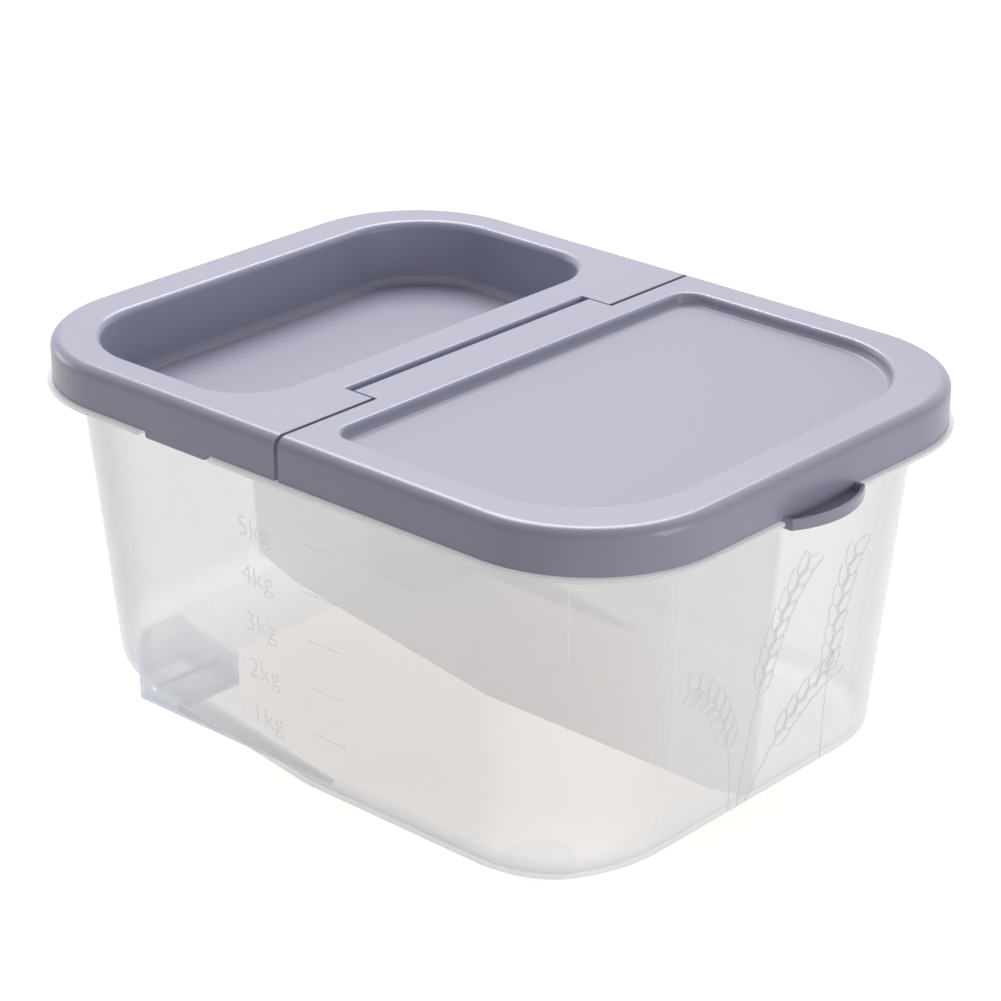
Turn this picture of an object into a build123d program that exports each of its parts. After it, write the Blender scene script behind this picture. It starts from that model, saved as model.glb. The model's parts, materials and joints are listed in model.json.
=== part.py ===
"""Rice storage box: a tapered see-through tub on two wheels and two foot pads, with a lift-out divider and
a two-part lid. One half of the lid stays on and carries a deep tray, the other flips up on moulded pins.

Millimetres, +Z up. The ground is z = 0 and the origin is under the middle of the whole box. The long axis
is X: the wheels are at the -X end, and the thumb tab of the flip lid is at the +X end."""
import os
from math import atan, degrees, radians, tan

from build123d import *

# Tub, outside sizes at the rim, and how far each wall leans in on its way down to the base
tub_rim_length = 335.0
tub_rim_width = 261.0
tub_end_taper = 12.5
tub_side_taper = 9.5
tub_corner_radius = 58.0
tub_wall = 2.0
tub_floor = 2.2
base_lift = 3.0
base_edge_radius = 9.0
rim_height = 160.0
lip_height = 11.0

# Floor line along X: it climbs over the wheels in a ramp and turns up to each end wall in a low toe
ramp_start = -4.0
wheel_top_gap = 1.8
toe_length = 25.0
toe_angle = 10.0
floor_bend_radius = 40.0

# Flange that the lid stands on
flange_end_reach = 17.75
flange_side_reach = 10.0
flange_thickness = 2.0
flange_edge_radius = 0.6

# Wheel wells and skid ribs under the ramp
rib_thickness = 2.0
skid_gap = 0.8
well_end_inset = 10.0
well_side_inset = 15.0
well_length = 41.0
well_width = 41.0
well_edge_inset = 5.0
wheel_setback = 27.0
wheel_radius = 9.0
wheel_width = 24.0
wheel_tread_radius = 2.5
wheel_dish_depth = 3.0
wheel_rim_thickness = 2.6
wheel_hub_radius = 3.6
wheel_end_gap = 1.0
axle_radius = 1.5
axle_end_chamfer = 0.4
axle_clearance = 0.05
press_clearance = 0.01

# Foot pads under the far end
pad_end_inset = 43.0
pad_side_inset = 27.0
pad_radius = 16.0
pad_edge_radius = 1.0

# Divider and the rails that hold its ends
divider_thickness = 2.0
divider_lid_gap = 3.0
divider_end_gap = 0.6
divider_floor_gap = 0.4
divider_corner_radius = 11.0
rail_thickness = 2.0
rail_depth = 4.0
rail_gap = 0.4
rail_lead = 1.0
bead_height = 0.8
bead_width = 5.0
bead_end_inset = 23.0
bead_floor_inset = 27.0
bead_top_drop = 50.0
bead_corner_radius = 4.0
mullion_x = 46.0
mullion_width = 3.0

# Lid, common to both halves
flange_reveal = 2.25
lid_height = 20.0
lid_skin = 2.2
lid_edge_radius = 5.0
lid_seat_gap = 0.2
split_x = 1.9
split_gap = 2.2

# Hinge: a round tongue on the flip lid turns on stub pins in a notch of the fixed lid
tongue_width = 156.0
barrel_radius = 4.6
barrel_setback = 11.5
barrel_gap = 1.5
cheek_gap = 1.0
notch_edge_radius = 1.5
pin_radius = 2.2
pin_length = 4.0
pin_clearance = 0.05
pin_end_gap = 0.8
socket_wall = 1.6
trough_gap = 2.0

# Tray in the fixed lid
tray_end_margin = 24.5
tray_side_margin = 19.75
bridge_width = 21.0
tray_end_corner_radius = 45.0
tray_bridge_corner_radius = 30.0
tray_depth = 31.0
tray_draft = 2.5
tray_floor_radius = 5.0
tray_edge_radius = 3.5

# Snap tabs on the fixed lid's long sides
snap_setback = 60.5
snap_width = 39.0
snap_drop = 3.0
snap_corner_radius = 1.5
snap_side_gap = 3.0
snap_back_gap = 1.0

# Shallow panel sunk in the flip lid
panel_hinge_margin = 12.0
panel_end_margin = 22.5
panel_side_margin = 20.0
panel_hinge_corner_radius = 10.0
panel_end_corner_radius = 55.0
panel_depth = 5.5
panel_draft = 1.0
panel_floor_radius = 2.5
panel_edge_radius = 2.2

# Thumb tab of the flip lid, with a finger pocket sunk in it
tab_reach = 12.0
tab_width = 50.0
tab_radius = 46.0
tab_thickness = 5.0
tab_drop = 4.0
tab_edge_radius = 0.5
tab_side_gap = 2.0
pocket_lip = 1.6
pocket_floor = 1.6

# Seals under both lid halves, and the rib that holds the flip lid's seal
seal_width = 5.0
seal_squeeze_gap = 0.3
cross_wall = 2.2
ledge_clearance = 2.0
ledge_margin = 1.0
plug_rib = 1.8
plug_rib_height = 6.0
plug_rib_gap = 0.2

# How far every cut runs past what it cuts
overrun = 20.0

# Levels along Z that follow from the sizes above
lip_top = rim_height + lip_height
skirt_bottom = rim_height + lid_seat_gap
lid_top = skirt_bottom + lid_height
plate_underside = lid_top - lid_skin
hinge_z = lid_top - barrel_radius
trough_floor = hinge_z - barrel_radius - trough_gap
divider_top = lid_top - tray_depth - lid_skin - divider_lid_gap
rail_top = divider_top + rail_lead
bead_top = divider_top - bead_top_drop

# Overall plan sizes that follow
tub_base_length = tub_rim_length - 2 * tub_end_taper
tub_base_width = tub_rim_width - 2 * tub_side_taper
flange_length = tub_rim_length + 2 * flange_end_reach
flange_width = tub_rim_width + 2 * flange_side_reach
flange_corner_radius = tub_corner_radius + flange_side_reach
lid_length = flange_length - 2 * flange_reveal
lid_width = flange_width - 2 * flange_reveal
lid_corner_radius = flange_corner_radius - flange_reveal

# Places along X that follow; the tub's middle is zero here, and origin_x moves the finished pieces
toe_start = tub_base_length / 2 - toe_length
well_outer_x = tub_base_length / 2 - well_end_inset
well_inner_x = well_outer_x - well_length
wheel_x = wheel_setback - well_outer_x
pad_x = tub_base_length / 2 - pad_end_inset
fixed_edge_x = split_x - split_gap / 2
flip_edge_x = split_x + split_gap / 2
hinge_x = split_x - barrel_setback
notch_x = hinge_x - barrel_radius - barrel_gap
snap_x = -snap_setback
tray_near_x = tray_end_margin - lid_length / 2
tray_far_x = notch_x - bridge_width
panel_near_x = flip_edge_x + panel_hinge_margin
panel_far_x = lid_length / 2 - panel_end_margin
tab_tip_x = lid_length / 2 + tab_reach
origin_x = (tab_tip_x - flange_length / 2) / 2

# The ramp climbs from the flat floor to just above the wheels
ramp_angle = degrees(atan((2 * wheel_radius + wheel_top_gap - base_lift) / (ramp_start - wheel_x)))

# Places along Y that follow
well_outer_y = tub_base_width / 2 - well_side_inset
well_inner_y = well_outer_y - well_width
well_middle_y = (well_outer_y + well_inner_y) / 2
pad_y = tub_base_width / 2 - pad_side_inset
notch_half = tongue_width / 2 + cheek_gap
tray_width = lid_width - 2 * tray_side_margin
panel_width = lid_width - 2 * panel_side_margin


def span_box(low, high):
    """A block from one corner to the other."""
    size = [b - a for a, b in zip(low, high)]
    middle = [(a + b) / 2 for a, b in zip(low, high)]
    return Pos(*middle) * Box(*size)


def cylinder_along_y(x, z, radius, y_low, y_high):
    """A round bar that lies across the box."""
    bar = Cylinder(radius, y_high - y_low)
    return Pos(x, (y_low + y_high) / 2, z) * Rot(X=90) * bar


def tub_size_at(z):
    """Outside length and width of the tapered tub at a height."""
    climb_share = (z - base_lift) / (rim_height - base_lift)
    length = tub_base_length + climb_share * (tub_rim_length - tub_base_length)
    width = tub_base_width + climb_share * (tub_rim_width - tub_base_width)
    return length, width


def tub_outline(z, inset):
    """The tub's rounded plan at a height, drawn in from the outside."""
    length, width = tub_size_at(z)
    return Pos(0, 0, z) * RectangleRounded(length - 2 * inset, width - 2 * inset, tub_corner_radius - inset)


def ramp_height(x):
    """How far the ramp has climbed above the flat floor at a place along X."""
    return (ramp_start - x) * tan(radians(ramp_angle))


def floor_line(rise):
    """Side view of everything under the floor: toe, ramp, flat floor and the other toe, lifted by rise."""
    reach = tub_rim_length
    flat = base_lift + rise
    ramp_end = flat + ramp_height(-toe_start)
    toe_run = reach - toe_start
    line = [
        (-reach, -reach),
        (-reach, ramp_end + toe_run * tan(radians(ramp_angle + toe_angle))),
        (-toe_start, ramp_end),
        (ramp_start, flat),
        (toe_start, flat),
        (reach, flat + toe_run * tan(radians(toe_angle))),
        (reach, -reach),
    ]
    return make_face(Polyline(*line, close=True))


def underside_edges(body, shared):
    """Edges of the faces that look down: those between two such faces, or those round the outside."""
    faces = body.faces().filter_by(lambda face: face.normal_at().Z < -0.5)
    edges = faces.edges()
    wanted = 2 if shared else 1
    return ShapeList([edge for edge in edges if sum(edge.is_same(other) for other in edges) == wanted])


def tub_block(inset, rise, top):
    """The tub's form as one solid, drawn in by inset and with its floor lifted by rise."""
    sections = [tub_outline(base_lift + rise, inset).face(), tub_outline(top, inset).face()]
    body = loft(sections, ruled=True) - extrude(Plane.XZ * floor_line(rise), tub_rim_width, both=True)
    body = fillet(underside_edges(body, shared=True), floor_bend_radius)
    edge_radius = max(base_edge_radius - inset, base_edge_radius / 3)
    return fillet(underside_edges(body, shared=False), edge_radius)


def flange_plate():
    """Flat rim round the tub, notched for the snap tabs and the thumb tab."""
    plan = RectangleRounded(flange_length, flange_width, flange_corner_radius)
    plate = extrude(Pos(0, 0, rim_height - flange_thickness) * plan, flange_thickness)
    plate = fillet(plate.faces().filter_by(Axis.Z).edges(), flange_edge_radius)
    notch_low = rim_height - flange_thickness - overrun
    notch_high = rim_height + overrun
    snap_half = snap_width / 2 + snap_side_gap
    snap_back_y = lid_width / 2 - lid_skin - snap_back_gap
    for side in (-1, 1):
        outside_y = side * (flange_width / 2 + overrun)
        low_y, high_y = sorted((side * snap_back_y, outside_y))
        plate -= span_box((snap_x - snap_half, low_y, notch_low), (snap_x + snap_half, high_y, notch_high))
    tab_half = tab_width / 2 + tab_side_gap
    tab_back_x = lid_length / 2 - lid_skin - snap_back_gap
    outside_x = flange_length / 2 + overrun
    return plate - span_box((tab_back_x, -tab_half, notch_low), (outside_x, tab_half, notch_high))


def divider_rails():
    """Two upright ribs on each end wall, which the divider's ends slide between."""
    outer = tub_block(tub_wall / 2, tub_floor / 2, lip_top)
    ribs = outer - tub_block(tub_wall + rail_depth, tub_floor, lip_top)
    near_y = divider_thickness / 2 + rail_gap
    inside_x = tub_base_length / 2 - tub_wall - base_edge_radius - rail_depth
    rails = Part()
    for end in (-1, 1):
        for side in (-1, 1):
            low_x, high_x = sorted((end * inside_x, end * tub_rim_length))
            low_y, high_y = sorted((side * near_y, side * (near_y + rail_thickness)))
            rails += ribs & span_box((low_x, low_y, 0), (high_x, high_y, rail_top))
    return rails


def wheel_wells():
    """Open-bottomed wells round the wheels and the skid ribs that run from them to the flat floor."""
    edge_plan = RectangleRounded(
        tub_base_length - 2 * well_edge_inset,
        tub_base_width - 2 * well_edge_inset,
        tub_corner_radius - well_edge_inset,
    )
    ribs = Part()
    for side in (-1, 1):
        middle = Pos(-(well_outer_x + well_inner_x) / 2, side * well_middle_y)
        room = middle * Rectangle(well_length, well_width) & edge_plan
        walls = room - offset(room, -rib_thickness)
        skid_y = side * (well_outer_y - rib_thickness / 2)
        skid_length = well_inner_x + ramp_start
        skid = Rectangle(skid_length + 2 * rib_thickness, rib_thickness)
        walls += Pos(skid_length / 2 - well_inner_x, skid_y) * skid
        ribs += extrude(Pos(0, 0, skid_gap) * walls, rim_height / 2)
    ribs -= tub_block(0, tub_floor / 2, rim_height)
    for side in (-1, 1):
        low_y, high_y = sorted((side * (well_inner_y - overrun), side * (well_outer_y + overrun)))
        ribs -= cylinder_along_y(wheel_x, wheel_radius, axle_radius + press_clearance, low_y, high_y)
    return ribs


def make_tub():
    """Tapered tub with its floor ramp, lip, flange, divider rails and wheel wells in one moulding."""
    body = tub_block(0, 0, lip_top) + flange_plate() + wheel_wells()
    body -= tub_block(tub_wall, tub_floor, lip_top + overrun)
    return body + divider_rails()


def side_view(inset, rise, top, corner_radius):
    """Side view of the tub's inside, drawn in from the walls and the floor, with round lower corners."""
    ground_half = tub_size_at(0)[0] / 2 - inset
    top_half = tub_size_at(top)[0] / 2 - inset
    corners = [(-ground_half, 0), (ground_half, 0), (top_half, top), (-top_half, top)]
    view = make_face(Polyline(*corners, close=True)) - floor_line(rise)
    lower = view.vertices().filter_by_position(Axis.Y, 0, top, inclusive=(True, False)).sort_by(Axis.X)
    return fillet([lower[0], lower[-1]], corner_radius)


def across(view, thickness):
    """A side view made solid, centred on the box's middle."""
    return extrude(Plane.XZ * view, thickness / 2, both=True)


def make_divider():
    """Lift-out panel that follows the floor line, with a raised bead frame on both faces."""
    end_inset = tub_wall + divider_end_gap
    panel = side_view(end_inset, tub_floor + divider_floor_gap, divider_top, divider_corner_radius)
    outer = side_view(bead_end_inset, tub_floor + bead_floor_inset, bead_top, bead_corner_radius)
    inner = offset(outer, -bead_width)
    mullion = Pos(mullion_x, bead_top / 2) * Rectangle(mullion_width, bead_top)
    frame = (outer - inner) + (mullion & outer)
    return across(panel, divider_thickness) + across(frame, divider_thickness + 2 * bead_height)


def make_wheel(side):
    """Roller with a rounded tread, dished sides and a long hub on its axle."""
    hub_half = well_width / 2 - rib_thickness - wheel_end_gap
    dish_radius = wheel_radius - wheel_rim_thickness
    roller = Cylinder(wheel_radius, wheel_width)
    roller = fillet(roller.edges().filter_by(GeomType.CIRCLE), wheel_tread_radius)
    for face in (-1, 1):
        dish_z = face * (wheel_width / 2 - wheel_dish_depth / 2)
        roller -= Pos(0, 0, dish_z) * Cylinder(dish_radius, wheel_dish_depth)
    roller += Cylinder(wheel_hub_radius, 2 * hub_half)
    roller -= Cylinder(axle_radius + axle_clearance, 2 * hub_half + overrun)
    return Pos(wheel_x, side * well_middle_y, wheel_radius) * Rot(X=90) * roller


def make_axle(side):
    """Steel pin through both walls of one wheel well."""
    low_y, high_y = sorted((side * well_inner_y, side * well_outer_y))
    pin = cylinder_along_y(wheel_x, wheel_radius, axle_radius, low_y, high_y)
    return chamfer(pin.edges().filter_by(GeomType.CIRCLE), axle_end_chamfer)


def make_foot_pad(side):
    """Round non-slip pad under one corner of the flat floor."""
    pad = Cylinder(pad_radius, base_lift, align=(Align.CENTER, Align.CENTER, Align.MIN))
    pad = fillet(pad.edges().group_by(Axis.Z)[0], pad_edge_radius)
    return Pos(pad_x, side * pad_y) * pad


def lid_shell():
    """The whole lid before it is split: a flat top with a rounded edge and a skirt."""
    plan = RectangleRounded(lid_length, lid_width, lid_corner_radius)
    form = extrude(Pos(0, 0, skirt_bottom) * plan, lid_height)
    form = fillet(form.edges().group_by(Axis.Z)[-1], lid_edge_radius)
    hollow_plan = offset(plan, -lid_skin)
    hollow = extrude(Pos(0, 0, skirt_bottom - overrun) * hollow_plan, lid_height - lid_skin + overrun)
    hollow = fillet(hollow.edges().group_by(Axis.Z)[-1], lid_edge_radius - lid_skin)
    return form - hollow


def pan_outline(near_x, far_x, width, near_radius, far_radius, z):
    """A rounded rectangle whose two ends have different corner radii."""
    plan = Pos((near_x + far_x) / 2, 0) * Rectangle(far_x - near_x, width)
    ends = plan.vertices().group_by(Axis.X)
    plan = fillet(ends[0], near_radius)
    plan = fillet(plan.vertices().group_by(Axis.X)[-1], far_radius)
    return Pos(0, 0, z) * plan


def pan_block(near_x, far_x, width, near_radius, far_radius, depth, draft, floor_radius):
    """A pan hanging from the lid's top, drawn in towards its floor, with a rounded foot."""
    mouth = pan_outline(near_x, far_x, width, near_radius, far_radius, lid_top)
    foot = pan_outline(
        near_x + draft,
        far_x - draft,
        width - 2 * draft,
        near_radius - draft,
        far_radius - draft,
        lid_top - depth,
    )
    block = loft([mouth.face(), foot.face()], ruled=True)
    return fillet(block.edges().group_by(Axis.Z)[0], floor_radius)


def tray_block(grow):
    """The tray's hollow, or with grow the outside of its walls."""
    return pan_block(
        tray_near_x - grow,
        tray_far_x + grow,
        tray_width + 2 * grow,
        tray_end_corner_radius + grow,
        tray_bridge_corner_radius + grow,
        tray_depth + grow,
        tray_draft,
        tray_floor_radius + grow,
    )


def panel_block(grow):
    """The flip lid's sunk panel, or with grow the outside of its floor and walls."""
    return pan_block(
        panel_near_x - grow,
        panel_far_x + grow,
        panel_width + 2 * grow,
        panel_hinge_corner_radius + grow,
        panel_end_corner_radius + grow,
        panel_depth + grow,
        panel_draft,
        panel_floor_radius + grow,
    )


def round_mouth(lid, radius):
    """Rounds the edge where a pan opens in the lid's top face."""
    top_face = lid.faces().filter_by(Axis.Z).group_by(Axis.Z)[-1].sort_by(SortBy.AREA)[-1]
    return fillet(top_face.inner_wires()[0].edges(), radius)


def ledge_half_width():
    """Half the width that is free between the tub's lips for the trough and its ledge."""
    return tub_size_at(rim_height)[1] / 2 - tub_wall - seal_width / 2 - ledge_clearance


def ledge_end_x():
    """Where the ledge under the flip lid's cross seal ends."""
    return flip_edge_x + cross_wall + seal_width + ledge_margin


def hinge_trough():
    """Trough under the tongue, with a ledge that runs on under the flip lid's edge."""
    half = ledge_half_width()
    end_x = ledge_end_x()
    low = trough_floor - lid_skin
    high = lid_top - lid_skin / 2
    notch_side = notch_half + lid_skin
    trough = span_box((notch_x - lid_skin, -notch_side, low), (end_x, notch_side, high))
    return trough + span_box((fixed_edge_x - lid_skin, -half, low), (end_x, half, high))


def hinge_clearing():
    """Room above the trough for the tongue, and beyond the split for the flip lid."""
    far_x = lid_length
    far_y = lid_width
    high = lid_top + overrun
    room = span_box((notch_x, -notch_half, trough_floor), (far_x, notch_half, high))
    return room + span_box((fixed_edge_x, -far_y, trough_floor), (far_x, far_y, high))


def make_fixed_lid():
    """Half of the lid that stays on: tray, hinge trough with its sockets, and two snap tabs."""
    reach = lid_length
    keep = span_box((-reach, -reach, 0), (fixed_edge_x, reach, lid_top + overrun))
    lid = (lid_shell() & keep) + tray_block(lid_skin) - tray_block(0)
    lid = round_mouth(lid, tray_edge_radius)
    lid += hinge_trough()
    boss_length = pin_length - cheek_gap + pin_end_gap + socket_wall
    for side in (-1, 1):
        low_y, high_y = sorted((side * notch_half, side * (notch_half + boss_length)))
        lid += cylinder_along_y(hinge_x, hinge_z, pin_radius + socket_wall, low_y, high_y)
    lid -= hinge_clearing()
    socket_half = tongue_width / 2 + pin_length + pin_end_gap
    lid -= cylinder_along_y(hinge_x, hinge_z, pin_radius + pin_clearance, -socket_half, socket_half)
    top_edges = lid.edges().filter_by(Axis.Y).group_by(Axis.Z)[-1]
    notch_edge = top_edges.sort_by(lambda edge: abs(edge.center().X - notch_x))[0]
    lid = fillet(notch_edge, notch_edge_radius)
    for side in (-1, 1):
        outer_y = side * lid_width / 2
        inner_y = side * (lid_width / 2 - lid_skin)
        low_y, high_y = sorted((inner_y, outer_y))
        tab_low = skirt_bottom - snap_drop
        tab = span_box(
            (snap_x - snap_width / 2, low_y, tab_low),
            (snap_x + snap_width / 2, high_y, skirt_bottom + lid_skin),
        )
        lid += fillet(tab.edges().filter_by(Axis.Y).group_by(Axis.Z)[0], snap_corner_radius)
    return lid


def tab_plan(inner_x, inset, z):
    """The thumb tab's crescent beyond a place along X, drawn in from its rim."""
    disc = Pos(tab_tip_x - tab_radius, 0, z) * Circle(tab_radius - inset)
    window = Pos(inner_x + tab_radius / 2, 0, z) * Rectangle(tab_radius, tab_width - 2 * inset)
    return disc & window


def thumb_tab():
    """Crescent lip that a thumb lifts, reaching out under the skirt."""
    tab = extrude(tab_plan(lid_length / 2 - lid_skin, 0, skirt_bottom - tab_drop), tab_thickness)
    return fillet(tab.edges().filter_by(GeomType.CIRCLE), tab_edge_radius)


def thumb_pocket():
    """Room for the thumb between the skirt and the tab's rim."""
    floor_z = skirt_bottom - tab_drop + pocket_floor
    return extrude(tab_plan(lid_length / 2, pocket_lip, floor_z), tab_thickness - pocket_floor)


def plug_rib_loop():
    """Rib inside the flip lid's seal."""
    length, width = tub_size_at(lip_top)
    inset = tub_wall / 2 + seal_width / 2 + plug_rib_gap
    outer = RectangleRounded(length - 2 * inset, width - 2 * inset, tub_corner_radius - inset)
    near_x = flip_edge_x + cross_wall + seal_width + plug_rib_gap
    room = outer & Pos(near_x + length / 2, 0) * Rectangle(length, width)
    loop = room - offset(room, -plug_rib)
    low = plate_underside - plug_rib_height
    return extrude(Pos(0, 0, low) * loop, plug_rib_height + lid_skin / 2)


def make_flip_lid():
    """Half of the lid that flips up: sunk panel, round tongue with stub pins, seal ribs and thumb tab."""
    reach = lid_length
    keep = span_box((flip_edge_x, -reach, 0), (reach, reach, lid_top + overrun))
    lid = (lid_shell() & keep) + panel_block(lid_skin) - panel_block(0)
    lid = round_mouth(lid, panel_edge_radius)
    lid += thumb_tab()
    lid -= thumb_pocket()
    tongue_half = tongue_width / 2
    tongue_end_x = flip_edge_x + cross_wall
    plate = Rectangle(tongue_end_x - hinge_x, lid_skin)
    profile = Pos((hinge_x + tongue_end_x) / 2, lid_top - lid_skin / 2) * plate
    profile += Pos(hinge_x, hinge_z) * Circle(barrel_radius)
    lid += extrude(Plane.XZ * profile, tongue_half, both=True)
    half = ledge_half_width()
    wall_low = trough_floor + trough_gap
    lid += span_box((flip_edge_x, -half, wall_low), (tongue_end_x, half, lid_top - lid_skin / 2))
    lid += plug_rib_loop()
    pin_half = tongue_half + pin_length
    return lid + cylinder_along_y(hinge_x, hinge_z, pin_radius, -pin_half, pin_half)


def seal_ring():
    """Plan of the seal over the tub's whole lip."""
    length, width = tub_size_at(lip_top)
    out = seal_width - tub_wall
    outer = RectangleRounded(length + out, width + out, tub_corner_radius + out / 2)
    inner = RectangleRounded(
        length + out - 2 * seal_width,
        width + out - 2 * seal_width,
        tub_corner_radius + out / 2 - seal_width,
    )
    return outer - inner


def make_fixed_lid_seal():
    """Seal strip over the lip on the fixed lid's three sides."""
    low = lip_top + seal_squeeze_gap
    ring = extrude(Pos(0, 0, low) * seal_ring(), plate_underside - low)
    return ring & span_box((-lid_length, -lid_width, 0), (fixed_edge_x, lid_width, lid_top))


def make_flip_lid_seal():
    """Seal loop of the flip lid: over the lip on three sides, and down to the ledge across the split."""
    low = lip_top + seal_squeeze_gap
    near_x = flip_edge_x + cross_wall
    width = tub_size_at(lip_top)[1]
    ring = extrude(Pos(0, 0, low) * seal_ring(), plate_underside - low)
    ring &= span_box((near_x, -lid_width, 0), (lid_length, lid_width, lid_top))
    end_y = width / 2 - tub_wall
    ring += span_box((near_x, -end_y, low), (near_x + seal_width, end_y, plate_underside))
    half = ledge_half_width()
    cross_low = trough_floor + seal_squeeze_gap
    return ring + span_box((near_x, -half, cross_low), (near_x + seal_width, half, plate_underside))


pieces = {
    "tub": make_tub(),
    "divider": make_divider(),
    "fixed_lid": make_fixed_lid(),
    "flip_lid": make_flip_lid(),
    "fixed_lid_seal": make_fixed_lid_seal(),
    "flip_lid_seal": make_flip_lid_seal(),
}
for place, side in (("front", -1), ("rear", 1)):
    pieces[f"wheel_{place}"] = make_wheel(side)
    pieces[f"axle_{place}"] = make_axle(side)
    pieces[f"foot_pad_{place}"] = make_foot_pad(side)

os.makedirs("parts", exist_ok=True)
for name, piece in pieces.items():
    export_step(Pos(-origin_x, 0, 0) * piece, f"parts/{name}.step")
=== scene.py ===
"""Looks of the rice storage box: the finishes of its moulded pieces, the scale and the rice sprigs printed on
its tub, and the stage that it stands on. It is laid out as an add-on and run as a script. Metres, +Z up."""
import json
import math
from typing import NamedTuple

import bmesh
import bpy
from bpy.props import FloatProperty, FloatVectorProperty, IntProperty, PointerProperty
from mathutils import Matrix, Vector

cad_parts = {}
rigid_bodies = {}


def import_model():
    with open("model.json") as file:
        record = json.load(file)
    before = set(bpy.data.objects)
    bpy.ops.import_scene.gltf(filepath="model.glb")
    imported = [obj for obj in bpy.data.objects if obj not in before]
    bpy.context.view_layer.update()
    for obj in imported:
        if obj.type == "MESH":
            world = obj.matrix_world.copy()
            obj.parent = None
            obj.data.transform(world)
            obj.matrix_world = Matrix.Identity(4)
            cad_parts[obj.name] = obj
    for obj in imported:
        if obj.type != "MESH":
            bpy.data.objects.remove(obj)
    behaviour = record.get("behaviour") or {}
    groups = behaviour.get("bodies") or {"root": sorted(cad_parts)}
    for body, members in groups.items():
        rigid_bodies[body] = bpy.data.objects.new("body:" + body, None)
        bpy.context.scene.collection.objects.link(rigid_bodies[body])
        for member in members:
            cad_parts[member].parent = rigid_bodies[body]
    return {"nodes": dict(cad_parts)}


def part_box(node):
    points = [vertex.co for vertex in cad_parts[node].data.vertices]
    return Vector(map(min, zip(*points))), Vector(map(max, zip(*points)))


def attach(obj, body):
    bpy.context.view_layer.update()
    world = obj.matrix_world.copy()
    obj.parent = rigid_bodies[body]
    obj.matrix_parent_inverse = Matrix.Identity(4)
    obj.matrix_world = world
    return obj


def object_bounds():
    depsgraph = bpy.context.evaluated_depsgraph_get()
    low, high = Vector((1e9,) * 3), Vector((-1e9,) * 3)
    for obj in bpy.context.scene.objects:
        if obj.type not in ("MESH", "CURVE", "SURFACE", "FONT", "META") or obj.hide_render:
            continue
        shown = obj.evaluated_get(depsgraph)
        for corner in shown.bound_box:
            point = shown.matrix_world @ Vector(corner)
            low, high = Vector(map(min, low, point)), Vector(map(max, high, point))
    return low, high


for leftover in list(bpy.data.objects):
    bpy.data.objects.remove(leftover)
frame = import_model()
cad_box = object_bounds()

bl_info = {
    "name": "Rice Storage Box Looks",
    "version": (1, 0, 0),
    "blender": (4, 5, 0),
    "location": "3D View > Sidebar > Rice Box",
    "description": "Dresses the rice storage box and sets its stage",
    "category": "Object",
}

TUB_BODY = "box"
MM = 0.001
WHITE = (1.0, 1.0, 1.0, 1.0)
PLASTIC_IOR = 1.49
CLOUD_DETAIL = 2.0
PORE_DETAIL = 3.0
# Marks to a metre, across the axles and along them
AXLE_MARKS = (4000.0, 90.0, 4000.0)
# Heights where a tub wall is felt for its slope
WALL_FEELERS = (40 * MM, 120 * MM)
MERGE_DISTANCE = 0.001 * MM
# Rounding of a stroke's ends, as a share of its width
TICK_ROUNDING = 0.49
TICK_END_STEPS = 6
LETTER_STEPS = 6
STEM_STEPS = 40
GRAIN_STEPS = 18
# How much narrower a drawn grain is at its tip, and wider at its foot, than in the middle
GRAIN_TAPER = 0.45
FLOOR_SIDES = 96
# See-through faces that one line of sight may pass
SIGHT_FACES = 32
SENSOR_WIDTH = 36.0


class Texture(NamedTuple):
    """Fine texture of one finish."""

    # Size of the lumps of its colour, and the shades of the darkest and the lightest of them
    cloud: float
    dark: float
    light: float = 1.0
    # How far its cover goes up and down with those lumps
    patch: float = 0.0
    # Size of the lumps of its roughness, the smoothest of them and what the roughest add
    sheen: float = 1.0
    rough: float = 0.0
    rougher: float = 0.0
    # Size and depth of its pores, and how strongly they show
    pore: float = 1.0
    pore_depth: float = 0.0
    pore_press: float = 0.0


LID = Texture(
    cloud=90 * MM, dark=0.96, light=1.04, sheen=4 * MM, rough=0.26, rougher=0.08,
    pore=0.7 * MM, pore_depth=0.12 * MM, pore_press=0.22)
TUB = Texture(
    cloud=60 * MM, dark=0.98, patch=0.1, sheen=3 * MM, rough=0.30, rougher=0.12,
    pore=0.9 * MM, pore_depth=0.1 * MM, pore_press=0.15)
DIVIDER = Texture(
    cloud=50 * MM, dark=0.97, patch=0.06, sheen=3 * MM, rough=0.36, rougher=0.12,
    pore=0.9 * MM, pore_depth=0.1 * MM, pore_press=0.15)
SEAL = Texture(
    cloud=12 * MM, dark=0.93, sheen=2 * MM, rough=0.62, rougher=0.16,
    pore=1.2 * MM, pore_depth=0.08 * MM, pore_press=0.3)
PAD = SEAL._replace(pore=0.9 * MM)
WHEEL = Texture(
    cloud=6 * MM, dark=0.9, sheen=1.5 * MM, rough=0.34, rougher=0.22,
    pore=0.6 * MM, pore_depth=0.06 * MM, pore_press=0.2)
INK = Texture(cloud=4 * MM, dark=0.94, patch=0.15, sheen=4 * MM, rough=0.5, rougher=0.1)
# The lumps of the axles are drawn out by their marks
AXLE = Texture(cloud=1.0, dark=0.85, rough=0.24, rougher=0.16)
FLOOR = Texture(cloud=0.5, dark=0.99)


class Stem(NamedTuple):
    """One drawn rice stem, in millimetres sideways from the end wall's middle and up the wall."""

    foot: tuple
    bow: tuple
    tip: tuple
    grains: int
    bare_share: float


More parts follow.
